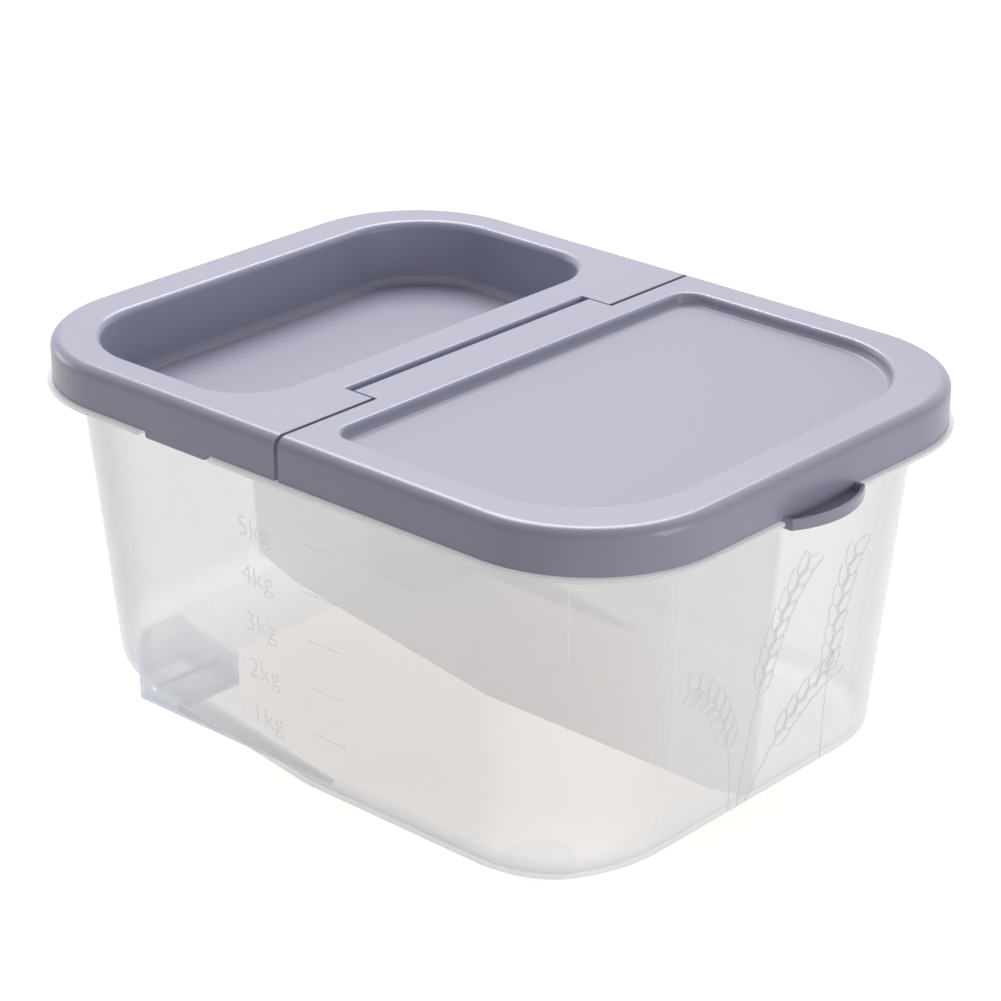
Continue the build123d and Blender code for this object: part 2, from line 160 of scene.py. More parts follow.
STEMS = (
    Stem(foot=(-20, 12), bow=(-24, 70), tip=(-52, 84), grains=13, bare_share=0.42),
    Stem(foot=(-14, 12), bow=(-8, 96), tip=(18, 118), grains=15, bare_share=0.48),
    Stem(foot=(-8, 12), bow=(14, 48), tip=(44, 58), grains=11, bare_share=0.40),
    Stem(foot=(46, 12), bow=(40, 84), tip=(54, 112), grains=13, bare_share=0.45),
)


class Wire:
    """An output of a node. Sums written with wires and numbers add Math nodes to the wire's board."""

    def __init__(self, board, socket):
        self.board = board
        self.socket = socket

    def __add__(self, other):
        return self.board.maths("ADD", self, other)

    def __radd__(self, other):
        return self.board.maths("ADD", other, self)

    def __sub__(self, other):
        return self.board.maths("SUBTRACT", self, other)

    def __rsub__(self, other):
        return self.board.maths("SUBTRACT", other, self)

    def __mul__(self, other):
        return self.board.maths("MULTIPLY", self, other)

    def __rmul__(self, other):
        return self.board.maths("MULTIPLY", other, self)

    def __truediv__(self, other):
        return self.board.maths("DIVIDE", self, other)

    def __mod__(self, other):
        return self.board.maths("MODULO", self, other)

    def __gt__(self, other):
        return self.board.maths("GREATER_THAN", self, other)

    def __lt__(self, other):
        return self.board.maths("LESS_THAN", self, other)


def socket_of(sockets, key):
    """The socket with this number, identifier or name."""
    for socket in sockets:
        if socket.identifier == key:
            return socket
    return sockets[key]


class Board:
    """Adds nodes to one tree of shader or geometry nodes."""

    def __init__(self, tree):
        self.tree = tree

    def node(self, kind, settings=None, inputs=None):
        """A new node: its settings are set first, then the values or links of its sockets."""
        made = self.tree.nodes.new(kind)
        for name, value in (settings or {}).items():
            if name == "stops":
                self.set_stops(made.color_ramp, value)
            else:
                setattr(made, name, value)
        for key, value in (inputs or {}).items():
            socket = socket_of(made.inputs, key)
            for each in value if isinstance(value, list) else [value]:
                if isinstance(each, Wire):
                    self.tree.links.new(each.socket, socket)
                else:
                    socket.default_value = each
        return made

    def wire(self, kind, settings=None, inputs=None, output=0):
        """A new node's output."""
        made = self.node(kind, settings, inputs)
        return Wire(self, socket_of(made.outputs, output))

    def split(self, vector):
        """The x, y and z of a vector."""
        made = self.node("ShaderNodeSeparateXYZ", None, {"Vector": vector})
        return [Wire(self, socket) for socket in made.outputs]

    def maths(self, operation, first, second):
        """One sum of two numbers or wires."""
        return self.wire("ShaderNodeMath", {"operation": operation}, {0: first, 1: second})

    def set_stops(self, ramp, stops):
        """Gives a colour ramp its stops, as pairs of a place and a grey level."""
        while len(ramp.elements) < len(stops):
            ramp.elements.new(1)
        for element, (place, level) in zip(ramp.elements, stops):
            element.position = place
            element.color = (level, level, level, 1)

    def ramp(self, value, stops):
        """A number that follows a few stops, from 0 to 1."""
        return self.wire("ShaderNodeValToRGB", {"stops": stops}, {"Fac": value})

    def blend(self, share, first, second):
        """One colour turning into another."""
        inputs = {"Factor_Float": share, "A_Color": first, "B_Color": second}
        return self.wire("ShaderNodeMix", {"data_type": "RGBA", "blend_type": "MIX"}, inputs, "Result_Color")


class Finish(Board):
    """One procedural material with a fine texture."""

    def __init__(self, name, texture):
        self.material = bpy.data.materials.new(name)
        self.material.use_nodes = True
        super().__init__(self.material.node_tree)
        self.tree.nodes.clear()
        self.texture = texture
        self.place = self.wire("ShaderNodeTexCoord", output="Object")

    def noise(self, lump, detail=CLOUD_DETAIL):
        """Cloudy noise whose lumps are about this far across, from 0 to 1."""
        inputs = {"Vector": self.place, "Scale": 1 / lump, "Detail": detail}
        return self.wire("ShaderNodeTexNoise", {"noise_dimensions": "3D"}, inputs)

    def tint(self, base):
        """A colour with its darker and lighter lumps."""
        dark = colour(shade(base, self.texture.dark))
        light = colour(shade(base, self.texture.light))
        return self.blend(self.noise(self.texture.cloud), dark, light)

    def cover(self, share):
        """A share of cover that goes up and down with the lumps."""
        patch = self.texture.patch
        return share * (1 - patch + 2 * patch * self.noise(self.texture.cloud))

    def rough(self):
        """Roughness that wanders over the surface."""
        return self.texture.rough + self.texture.rougher * self.noise(self.texture.sheen)

    def level(self):
        """1 on faces that are level when the box is shut, and 0 on upright ones."""
        normal = self.wire("ShaderNodeTexCoord", output="Normal")
        rise = self.split(normal)[2]
        return rise * rise

    def edge(self):
        """1 where a see-through wall is seen edge on, and 0 where it is seen square."""
        facing = self.wire("ShaderNodeLayerWeight", output="Facing")
        return facing * facing

    def pores(self):
        """Fine noise from 0 to 1, as a mould's texture leaves it."""
        return self.noise(self.texture.pore, PORE_DETAIL)

    def pressed(self, relief):
        """A normal that follows a relief from 0 to 1, as deep as the pores."""
        inputs = {"Strength": self.texture.pore_press, "Distance": self.texture.pore_depth, "Height": relief}
        return self.wire("ShaderNodeBump", {"invert": False}, inputs)

    def surface(self, **inputs):
        """Ends the material in one main shader with these sockets, and gives the material."""
        named = {name.replace("_", " "): value for name, value in inputs.items()}
        shader = self.wire("ShaderNodeBsdfPrincipled", None, named)
        self.node("ShaderNodeOutputMaterial", None, {"Surface": shader})
        return self.material


def colour(value):
    """A property's colour with full cover."""
    return (*value, 1.0)


def shade(value, share):
    """A colour made lighter or darker by a share."""
    return tuple(min(1.0, channel * share) for channel in value)


def satin_plastic(looks):
    """Moulded lid plastic: a sheen that wanders a little, a rougher matte grain on the sunk faces, and
    painted shade that darkens them.
    """
    made = Finish("lid_satin", LID)
    height = made.split(made.place)[2]
    sunk = (cad_box[1].z - looks.sunk_depth > height) * made.level()
    # The sunk faces' colour is darkened: painted shade in the tray and the panel recess
    tint = made.blend(sunk, made.tint(looks.lid_colour), colour(shade(looks.lid_colour, looks.sunk_painted_shade)))
    rough = made.rough() + looks.sunk_roughness * sunk
    grain = made.pores() + looks.sunk_grain * sunk * made.noise(looks.sunk_pore, PORE_DETAIL)
    return made.surface(Base_Color=tint, Roughness=rough, Normal=made.pressed(grain), IOR=PLASTIC_IOR)


def frosted_plastic(looks):
    """See-through tub plastic: hazier in the flange, along the floor's edge and round the wheels, and clearer
    in the floor. It carries a painted glow that stands in for light scattered through the plastic."""
    made = Finish("tub_frosted", TUB)
    length, _, height = made.split(made.place)
    level = made.level()
    upright = 1.0 - level
    flange = (height > looks.flange_low) * (looks.flange_high > height)
    foot = made.ramp(height / looks.foot_height, [(0.0, 1.0), (1.0, 0.0)]) * upright
    low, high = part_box("wheel_front")
    wheel_end = (length > low.x - looks.well_outer_margin) * (high.x + looks.well_inner_margin > length)
    wheel_end = wheel_end * (high.z + looks.well_top_margin > height)
    well = wheel_end * upright
    plate = (looks.plate_height > height) * level * (1.0 - looks.well_cloud * wheel_end)
    haze = made.cover(looks.tub_haze) + looks.flange_haze * flange + looks.foot_haze * foot
    haze = haze + looks.edge_haze * made.edge() + looks.well_haze * well
    alpha = haze * (1.0 - looks.plate_clearness * plate)
    tint = made.blend(foot, made.tint(looks.tub_colour), colour(looks.foot_colour))
    tint = made.blend(well, tint, colour(looks.well_colour))
    # The emission is a painted glow in the tub's own tint, standing in for light scattered through the
    # plastic
    return made.surface(Base_Color=tint, Roughness=made.rough(), Alpha=alpha,
                        Normal=made.pressed(made.pores()), IOR=PLASTIC_IOR,
                        Emission_Color=tint, Emission_Strength=looks.tub_painted_glow)


def milky_plastic(looks):
    """Divider plastic: milky, with faint flow clouds, and a painted glow that stands in for light scattered
    through it.
    """
    made = Finish("divider_milky", DIVIDER)
    tint = made.tint(looks.divider_colour)
    alpha = made.cover(looks.divider_haze) + looks.edge_haze * made.edge()
    return made.surface(Base_Color=tint, Roughness=made.rough(), Alpha=alpha,
                        Normal=made.pressed(made.pores()),
                        Emission_Color=tint, Emission_Strength=looks.divider_painted_glow)


def soft_rubber(name, texture, base, cover=1.0):
    """Matte rubber with a faintly dusty skin, see-through where its cover is under 1."""
    made = Finish(name, texture)
    return made.surface(Base_Color=made.tint(base), Roughness=made.rough(), Alpha=cover,
                        Normal=made.pressed(made.pores()))


def wheel_plastic(looks):
    """Hard see-through roller plastic, dulled in small patches, with a painted glow that stands in for light
    scattered through it.
    """
    made = Finish("wheel_hard", WHEEL)
    tint = made.tint(looks.wheel_colour)
    return made.surface(Base_Color=tint, Roughness=made.rough(), Alpha=looks.wheel_haze,
                        Normal=made.pressed(made.pores()),
                        Emission_Color=tint, Emission_Strength=looks.wheel_painted_glow)


def drawn_steel(looks):
    """Bright wire with fine marks along it from the drawing die."""
    made = Finish("axle_wire", AXLE)
    stretch = made.wire("ShaderNodeMapping", None, {"Vector": made.place, "Scale": AXLE_MARKS})
    inputs = {"Vector": stretch, "Scale": 1 / AXLE.cloud, "Detail": CLOUD_DETAIL}
    marks = made.wire("ShaderNodeTexNoise", None, inputs)
    tint = made.blend(marks, colour(shade(looks.axle_colour, AXLE.dark)), colour(looks.axle_colour))
    return made.surface(Base_Color=tint, Roughness=AXLE.rough + AXLE.rougher * marks, Metallic=1.0)


def print_ink(looks):
    """Thin frosted print, a little patchy, with a white painted glow that stands in for light the frosted
    print scatters.
    """
    made = Finish("print_ink", INK)
    return made.surface(Base_Color=made.tint(looks.print_colour), Roughness=made.rough(),
                        Alpha=made.cover(looks.print_cover),
                        Emission_Color=WHITE, Emission_Strength=looks.print_painted_glow)


def dress(material, *nodes):
    """Puts a material on CAD nodes."""
    for name in nodes:
        frame["nodes"][name].material_slots[0].material = material


def wall_place(outward, sideways):
    """Where a print sits on a tub wall: its own x runs sideways, its y up the wall and its z outwards."""
    tub = frame["nodes"]["tub"]
    hits = []
    for height in WALL_FEELERS:
        start = outward * (cad_box[1] - cad_box[0]).length + Vector((0, 0, height))
        found, point, _, _ = tub.ray_cast(start, -outward)
        if not found:
            raise RuntimeError("no wall to print on")
        hits.append(point)
    up = (hits[1] - hits[0]).normalized()
    normal = sideways.cross(up).normalized()
    ground = hits[0] - up * (hits[0].z / up.z)
    columns = Matrix((sideways, up, normal)).transposed().to_4x4()
    return Matrix.Translation(ground) @ columns


def new_piece(name, mesh, material, body):
    """A finished piece from a mesh that is already in place."""
    piece = bpy.data.objects.new(name, mesh)
    bpy.context.scene.collection.objects.link(piece)
    mesh.materials.clear()
    mesh.materials.append(material)
    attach(piece, body)
    return piece


def grown_mesh(tree, values):
    """The plain mesh that a geometry tree grows from these values of its named inputs."""
    seed = bpy.data.objects.new("seed", bpy.data.meshes.new("seed"))
    bpy.context.scene.collection.objects.link(seed)
    modifier = seed.modifiers.new("grow", "NODES")
    modifier.node_group = tree
    for item in tree.interface.items_tree:
        if item.name in values:
            modifier[item.identifier] = values[item.name]
    graph = bpy.context.evaluated_depsgraph_get()
    mesh = bpy.data.meshes.new_from_object(seed.evaluated_get(graph))
    seed.modifiers.remove(modifier)
    bpy.data.objects.remove(seed)
    return mesh


def joined(name, meshes):
    """Several meshes as one."""
    whole = bmesh.new()
    for mesh in meshes:
        whole.from_mesh(mesh)
        bpy.data.meshes.remove(mesh)
    bmesh.ops.remove_doubles(whole, verts=whole.verts, dist=MERGE_DISTANCE)
    bmesh.ops.recalc_face_normals(whole, faces=whole.faces)
    mesh = bpy.data.meshes.new(name)
    whole.to_mesh(mesh)
    whole.free()
    return mesh


class GrowTree(Board):
    """A geometry tree with named inputs, which ends in real faces of one material."""

    def __init__(self, name, inputs):
        tree = bpy.data.node_groups.new(name, "GeometryNodeTree")
        super().__init__(tree)
        tree.interface.new_socket("Geometry", in_out="OUTPUT", socket_type="NodeSocketGeometry")
        for label, kind in inputs:
            tree.interface.new_socket(label, in_out="INPUT", socket_type=f"NodeSocket{kind}")
        self.entry = self.node("NodeGroupInput")

    def given(self, label):
        """One of the tree's inputs."""
        return Wire(self, self.entry.outputs[label])

    def vector(self, x=0.0, y=0.0, z=0.0):
        """A vector from numbers or wires."""
        return self.wire("ShaderNodeCombineXYZ", None, {"X": x, "Y": y, "Z": z})

    def end(self, geometry, material):
        """Makes the copies real, gives them the material and ends the tree."""
        real = self.wire("GeometryNodeRealizeInstances", None, {"Geometry": geometry})
        inked = self.wire("GeometryNodeSetMaterial", None, {"Geometry": real, "Material": material})
        self.node("NodeGroupOutput", None, {"Geometry": inked})
        return self.tree


def tick_tree(material):
    """A ladder of short printed strokes with round ends."""
    sizes = ("Pitch", "Length", "Stroke", "Film")
    grow = GrowTree("scale_ticks", [("Count", "Int"), *((label, "Float") for label in sizes)])
    stroke = grow.given("Stroke")
    size = {"Width": grow.given("Length"), "Height": stroke}
    bar = grow.wire("GeometryNodeCurvePrimitiveQuadrilateral", {"mode": "RECTANGLE"}, size)
    rounding = {"Curve": bar, "Radius": stroke * TICK_ROUNDING, "Count": TICK_END_STEPS}
    bar = grow.wire("GeometryNodeFilletCurve", {"mode": "POLY"}, rounding)
    face = grow.wire("GeometryNodeFillCurve", {"mode": "NGONS"}, {"Curve": bar})
    film = {"Mesh": face, "Offset Scale": grow.given("Film"), "Individual": False}
    lifted = grow.wire("GeometryNodeExtrudeMesh", {"mode": "FACES"}, film)
    step = grow.vector(y=grow.given("Pitch"))
    line = {"Count": grow.given("Count"), "Offset": step}
    rungs = grow.wire("GeometryNodeMeshLine", {"mode": "OFFSET"}, line)
    ticks = grow.wire("GeometryNodeInstanceOnPoints", None, {"Points": rungs, "Instance": lifted})
    return grow.end(ticks, material)


def sprig_tree(material):
    """One bowed rice stem in outline, with outlined grains down both sides of its upper part."""
    points = ("Foot", "Bow", "Tip")
    sizes = ("Bare Share", "Grain Length", "Grain Width", "Splay", "Line", "Film")
    labels = [(label, "Vector") for label in points] + [(label, "Float") for label in sizes]
    grow = GrowTree("rice_sprig", [("Grains", "Int"), *labels])
    route = {"Resolution": STEM_STEPS, "Start": grow.given("Foot"), "Middle": grow.given("Bow"),
             "End": grow.given("Tip")}
    stem = grow.wire("GeometryNodeCurveQuadraticBezier", None, route)
    pen = {"Width": grow.given("Film"), "Height": grow.given("Line")}
    pen = grow.wire("GeometryNodeCurvePrimitiveQuadrilateral", {"mode": "RECTANGLE"}, pen)
    drawn = {"Curve": stem, "Profile Curve": pen, "Fill Caps": True}
    stroke = grow.wire("GeometryNodeCurveToMesh", None, drawn)

    circle = {"Resolution": GRAIN_STEPS, "Radius": 1.0}
    ring = grow.wire("GeometryNodeCurvePrimitiveCircle", {"mode": "RADIUS"}, circle)
    along, aside, _ = grow.split(grow.wire("GeometryNodeInputPosition"))
    drop_x = (along + 1.0) * grow.given("Grain Length") / 2
    drop_y = aside * (1.0 - GRAIN_TAPER * along) * grow.given("Grain Width") / 2
    shaped = {"Geometry": ring, "Position": grow.vector(drop_x, drop_y)}
    drop = grow.wire("GeometryNodeSetPosition", None, shaped)
    grain = grow.wire("GeometryNodeCurveToMesh", None, {"Curve": drop, "Profile Curve": pen})

    ear = {"Curve": stem, "Start": grow.given("Bare Share"), "End": 1.0}
    ear = grow.wire("GeometryNodeTrimCurve", {"mode": "FACTOR"}, ear)
    knots = grow.wire("GeometryNodeResampleCurve", None, {"Curve": ear, "Count": grow.given("Grains")})
    ahead, up, _ = grow.split(grow.wire("GeometryNodeInputTangent"))
    lean = grow.maths("ARCTAN2", up, ahead)
    # -1 and 1 in turn
    side = grow.wire("GeometryNodeInputIndex") % 2.0 * 2.0 - 1.0
    turn = grow.vector(z=lean + side * grow.given("Splay"))
    grains = {"Points": knots, "Instance": grain, "Rotation": turn}
    grains = grow.wire("GeometryNodeInstanceOnPoints", None, grains)
    both = grow.wire("GeometryNodeJoinGeometry", None, {"Geometry": [grains, stroke]})
    return grow.end(both, material)


def written_mesh(words, size, thinning, film):
    """Flat lettering as a mesh, in the print's own plane."""
    curve = bpy.data.curves.new("words", "FONT")
    curve.body = words
    curve.size = size
    curve.offset = -thinning
    curve.extrude = film / 2
    curve.resolution_u = LETTER_STEPS
    holder = bpy.data.objects.new("words", curve)
    bpy.context.scene.collection.objects.link(holder)
    graph = bpy.context.evaluated_depsgraph_get()
    mesh = bpy.data.meshes.new_from_object(holder.evaluated_get(graph))
    bpy.data.objects.remove(holder)
    bpy.data.curves.remove(curve)
    return mesh


class RiceBoxLooks(bpy.types.PropertyGroup):
    """Colours and covers of the box's materials."""

    lid_colour: FloatVectorProperty(
        name="Lid colour", description="Grey lavender of both lid halves", subtype="COLOR",
        default=(0.352, 0.352, 0.462))
    sunk_depth: FloatProperty(
        name="Sunk depth", description="Depth below the lid's top where the matte grain starts",
        unit="LENGTH", default=0.003)
    sunk_roughness: FloatProperty(
        name="Sunk roughness", description="How much rougher the sunk faces are", subtype="FACTOR",
        default=0.14)
    # Painted shade: how much darker the sunk faces of the tray and the panel recess are painted
    sunk_painted_shade: FloatProperty(
        name="Sunk shade", description="How dark the sunk faces are beside the rest", subtype="FACTOR",
        default=0.82)
    sunk_pore: FloatProperty(
        name="Sunk pore", description="Size of the sunk faces' grain", unit="LENGTH", default=0.0018)
    sunk_grain: FloatProperty(
        name="Sunk grain", description="How much coarser the sunk faces' grain stands", default=3.0)
    tub_colour: FloatVectorProperty(
        name="Tub colour", description="Colour of the tub's haze", subtype="COLOR",
        default=(0.75, 0.75, 0.76))
    tub_haze: FloatProperty(
        name="Tub haze", description="How much one face of the tub covers", subtype="FACTOR", default=0.11)
    # Painted glow: emission standing in for light scattered through the tub's plastic
    tub_painted_glow: FloatProperty(
        name="Tub glow", description="Light that the tub's plastic carries along inside itself",
        default=0.29)
    edge_haze: FloatProperty(
        name="Edge haze", description="Extra cover where the wall is seen edge on", default=1.1)
    flange_haze: FloatProperty(
        name="Flange haze", description="Extra cover in the flange", subtype="FACTOR", default=0.30)
    flange_low: FloatProperty(
        name="Flange underside", description="Height where the flange starts", unit="LENGTH",
        default=0.1575)
    flange_high: FloatProperty(
        name="Flange top", description="Height where the flange ends", unit="LENGTH", default=0.1602)
    foot_haze: FloatProperty(
        name="Foot haze", description="Extra cover along the floor's edge", subtype="FACTOR", default=0.40)
    foot_colour: FloatVectorProperty(
        name="Foot colour", description="Colour of the haze along the floor's edge", subtype="COLOR",
        default=(0.56, 0.59, 0.67))
    foot_height: FloatProperty(
        name="Foot height", description="How far up the extra cover reaches", unit="LENGTH", default=0.018)
    well_haze: FloatProperty(
        name="Well haze", description="Extra cover round the wheels", subtype="FACTOR", default=0.06)
    well_colour: FloatVectorProperty(
        name="Well colour", description="Bluish colour of the haze round the wheels", subtype="COLOR",
        default=(0.72, 0.74, 0.82))
    well_outer_margin: FloatProperty(
        name="Well outer margin", description="From the wheels to the wells' outer end", unit="LENGTH",
        default=0.018)
    well_inner_margin: FloatProperty(
        name="Well inner margin", description="From the wheels to the wells' inner end", unit="LENGTH",
        default=0.005)
    well_top_margin: FloatProperty(
        name="Well top margin", description="From the wheels up past the wells' top", unit="LENGTH",
        default=0.014)
    well_cloud: FloatProperty(
        name="Well cloud", description="How much of the floor's clearness is lost over the wheels",
        subtype="FACTOR", default=0.4)
    plate_clearness: FloatProperty(
        name="Floor clearness", description="How much less the tub's floor covers than its walls",
        subtype="FACTOR", default=0.8)
    plate_height: FloatProperty(
        name="Floor height", description="Height that the tub's sloping floor stays under", unit="LENGTH",
        default=0.05)
    divider_colour: FloatVectorProperty(
        name="Divider colour", description="Warm grey of the divider", subtype="COLOR",
        default=(0.86, 0.83, 0.82))
    divider_haze: FloatProperty(
        name="Divider haze", description="How much one face of the divider covers", subtype="FACTOR",
        default=0.45)
    # Painted glow: emission standing in for light scattered through the divider's plastic
    divider_painted_glow: FloatProperty(
        name="Divider glow", description="Light that the divider's plastic carries along inside itself",
        default=0.25)
    seal_colour: FloatVectorProperty(
        name="Seal colour", description="Colour of the seals", subtype="COLOR", default=(0.78, 0.78, 0.79))
    wheel_colour: FloatVectorProperty(
        name="Wheel colour", description="Colour of the rollers", subtype="COLOR",
        default=(0.70, 0.73, 0.82))
    wheel_haze: FloatProperty(
        name="Wheel haze", description="How much one face of a roller covers", subtype="FACTOR",
        default=0.18)
    # Painted glow: emission standing in for light scattered through the rollers' plastic
    wheel_painted_glow: FloatProperty(
        name="Wheel glow", description="Light that the rollers' plastic carries along inside itself",
        default=0.35)
    axle_colour: FloatVectorProperty(
        name="Axle colour", description="Colour of the steel pins", subtype="COLOR",
        default=(0.85, 0.85, 0.86))
    pad_colour: FloatVectorProperty(
        name="Pad colour", description="Colour of the foot pads", subtype="COLOR",
        default=(0.90, 0.90, 0.90))
    pad_cover: FloatProperty(
        name="Pad cover", description="How much one face of a pad covers", subtype="FACTOR", default=0.05)
    print_colour: FloatVectorProperty(
        name="Print colour", description="Colour of the scale and the sprigs", subtype="COLOR",
        default=(0.52, 0.52, 0.54))
    # Painted glow: white emission standing in for light that the frosted print scatters
    print_painted_glow: FloatProperty(
        name="Print glow", description="Light that the frosted print scatters", default=0.28)
    print_cover: FloatProperty(
        name="Print cover", description="How much the print covers", subtype="FACTOR", default=0.34)


class RiceBoxPrint(bpy.types.PropertyGroup):
    """Sizes of what is printed on the tub."""

    film: FloatProperty(
        name="Film", description="How far the print stands off the wall", unit="LENGTH", default=0.00012)
    tick_count: IntProperty(name="Ticks", description="Strokes of the scale", default=5)
    tick_pitch: FloatProperty(
        name="Tick pitch", description="Rise from one stroke to the next", unit="LENGTH", default=0.0235)
    tick_first: FloatProperty(
        name="First tick", description="Height of the lowest stroke", unit="LENGTH", default=0.036)
    tick_length: FloatProperty(
        name="Tick length", description="Length of a stroke", unit="LENGTH", default=0.020)
    tick_stroke: FloatProperty(
        name="Tick stroke", description="Width of a stroke", unit="LENGTH", default=0.0008)
    tick_x: FloatProperty(
        name="Tick place", description="Middle of the strokes along the wall", unit="LENGTH", default=0.011)
    word_x: FloatProperty(
        name="Number place", description="Left edge of the numbers along the wall", unit="LENGTH",
        default=-0.0385)
    word_size: FloatProperty(
        name="Number size", description="Type size of the numbers", unit="LENGTH", default=0.0142)
    word_drop: FloatProperty(
        name="Number drop", description="How far a number's foot lies below its stroke", unit="LENGTH",
        default=0.0075)
    word_thinning: FloatProperty(
        name="Number thinning", description="How much the letters are thinned", unit="LENGTH",
        default=0.00018)
    sprig_line: FloatProperty(
        name="Sprig line", description="Pen width of the sprigs", unit="LENGTH", default=0.0009)
    grain_length: FloatProperty(
        name="Grain length", description="Length of a drawn grain", unit="LENGTH", default=0.012)
    grain_width: FloatProperty(
        name="Grain width", description="Width of a drawn grain", unit="LENGTH", default=0.0072)
    grain_splay: FloatProperty(
        name="Grain splay", description="How far grains lean off the stem", subtype="ANGLE",
        default=math.radians(34))


class RiceBoxStage(bpy.types.PropertyGroup):
    """Light, floor and camera."""

    floor_radius: FloatProperty(
        name="Floor radius", description="Reach of the floor", unit="LENGTH", default=9.0)
    floor_colour: FloatVectorProperty(
        name="Floor colour", description="Pale floor", subtype="COLOR", default=(0.56, 0.545, 0.54))
    floor_lift: FloatProperty(
        name="Floor lift", description="Glow that keeps the floor pale to the camera by the box",
        default=0.94)
    # Painted warm light: the colour of the floor's glow under the box
    floor_painted_warmth: FloatVectorProperty(
        name="Floor warmth", description="Colour that the floor shows under the box", subtype="COLOR",
        default=(1.0, 0.93, 0.86))
    floor_near_share: FloatProperty(
        name="Floor near", description="Where the floor starts to turn white, as a share of the box",
        default=0.55)
    floor_far_share: FloatProperty(
        name="Floor far", description="Where the floor is all white, as a share of the box", default=1.0)
    floor_shadow: FloatProperty(
        name="Floor shadow", description="How much of the floor's own light and shade the camera sees",
        default=0.25)
    sky: FloatProperty(name="Sky", description="Even light from all round", default=0.31)
    key_power: FloatProperty(
        name="Key light", description="Large lamp high behind the wheel end", unit="POWER", default=46.0)
    key_size: FloatProperty(name="Key size", description="Side of the key lamp", unit="LENGTH", default=1.3)
    key_place: FloatVectorProperty(
        name="Key place", description="Where the key lamp hangs", subtype="TRANSLATION",
        default=(-0.9, 0.9, 1.8))
    low_size: FloatProperty(
        name="Low size", description="Side of the low lamps", unit="LENGTH", default=0.7)
    tab_end_power: FloatProperty(
        name="Tab end light", description="Low lamp past the thumb tab", unit="POWER", default=7.5)
    tab_end_place: FloatVectorProperty(
        name="Tab end place", description="Where the lamp past the thumb tab stands", subtype="TRANSLATION",
        default=(1.7, 0.2, 0.28))
    wheel_end_power: FloatProperty(
        name="Wheel end light", description="Low lamp past the wheels", unit="POWER", default=4.5)
    wheel_end_place: FloatVectorProperty(
        name="Wheel end place", description="Where the lamp past the wheels stands", subtype="TRANSLATION",
        default=(-1.7, -0.4, 0.28))
    azimuth: FloatProperty(
        name="Camera azimuth", description="Turn about the box", subtype="ANGLE",
        default=math.radians(41.967))
    elevation: FloatProperty(
        name="Camera elevation", description="Height over the horizon", subtype="ANGLE",
        default=math.radians(23.757))
    roll: FloatProperty(
        name="Camera roll", description="Turn about the view", subtype="ANGLE", default=math.radians(0.214))
    distance: FloatProperty(
        name="Camera distance", description="From the aim to the camera", unit="LENGTH", default=1.51838)
    aim: FloatVectorProperty(
        name="Camera aim", description="Point in the middle of the view", subtype="TRANSLATION",
        default=(-0.034566, 0.037848, 0.085))
    lens: FloatProperty(name="Lens", description="Focal length in millimetres", default=115.44)


class PieceMaker:
    """What the operators share."""

    bl_options = {"REGISTER", "UNDO"}

    @property
    def looks(self):
        return bpy.context.scene.rice_box_looks

    @property
    def marks(self):
        return bpy.context.scene.rice_box_print

    @property
    def setting(self):
        return bpy.context.scene.rice_box_stage


class RICEBOX_OT_lids(PieceMaker, bpy.types.Operator):
    """Gives both lid halves their satin plastic"""

    bl_idname = "ricebox.lids"
    bl_label = "Lids"

    def execute(self, context):
        dress(satin_plastic(self.looks), "fixed_lid", "flip_lid")
        return {"FINISHED"}


class RICEBOX_OT_tub(PieceMaker, bpy.types.Operator):
    """Gives the tub its frosted plastic"""

    bl_idname = "ricebox.tub"
    bl_label = "Tub"

    def execute(self, context):
        dress(frosted_plastic(self.looks), "tub")
        return {"FINISHED"}


class RICEBOX_OT_divider(PieceMaker, bpy.types.Operator):
    """Gives the divider its milky plastic"""

    bl_idname = "ricebox.divider"
    bl_label = "Divider"

    def execute(self, context):
        dress(milky_plastic(self.looks), "divider")
        return {"FINISHED"}


class RICEBOX_OT_seals(PieceMaker, bpy.types.Operator):
    """Gives both seals their soft rubber"""

    bl_idname = "ricebox.seals"
    bl_label = "Seals"

    def execute(self, context):
        rubber = soft_rubber("seal_silicone", SEAL, self.looks.seal_colour)
        dress(rubber, "fixed_lid_seal", "flip_lid_seal")
        return {"FINISHED"}


class RICEBOX_OT_running_gear(PieceMaker, bpy.types.Operator):
    """Gives the wheels, axles and foot pads their finishes"""

    bl_idname = "ricebox.running_gear"
    bl_label = "Wheels, axles and pads"

    def execute(self, context):
        dress(wheel_plastic(self.looks), "wheel_front", "wheel_rear")
        dress(drawn_steel(self.looks), "axle_front", "axle_rear")
        rubber = soft_rubber("pad_rubber", PAD, self.looks.pad_colour, self.looks.pad_cover)
        dress(rubber, "foot_pad_front", "foot_pad_rear")
        return {"FINISHED"}


class RICEBOX_OT_scale(PieceMaker, bpy.types.Operator):
    """Prints the scale of strokes and numbers on the front wall"""

    bl_idname = "ricebox.scale"
    bl_label = "Scale"

    def execute(self, context):
        marks = self.marks
        ink = print_ink(self.looks)
        wall = wall_place(Vector((0, -1, 0)), Vector((1, 0, 0)))
        values = {"Count": marks.tick_count, "Pitch": marks.tick_pitch, "Length": marks.tick_length,
                  "Stroke": marks.tick_stroke, "Film": marks.film}
        ticks = grown_mesh(tick_tree(ink), values)
        ticks.transform(wall @ Matrix.Translation((marks.tick_x, marks.tick_first, 0)))
        new_piece("scale_ticks", joined("scale_ticks", [ticks]), ink, TUB_BODY)
        numbers = []
        for step in range(marks.tick_count):
            word = written_mesh(f"{step + 1}kg", marks.word_size, marks.word_thinning, marks.film)
            foot = marks.tick_first + step * marks.tick_pitch - marks.word_drop
            word.transform(wall @ Matrix.Translation((marks.word_x, foot, marks.film / 2)))
            numbers.append(word)
        new_piece("scale_numbers", joined("scale_numbers", numbers), ink, TUB_BODY)
        return {"FINISHED"}


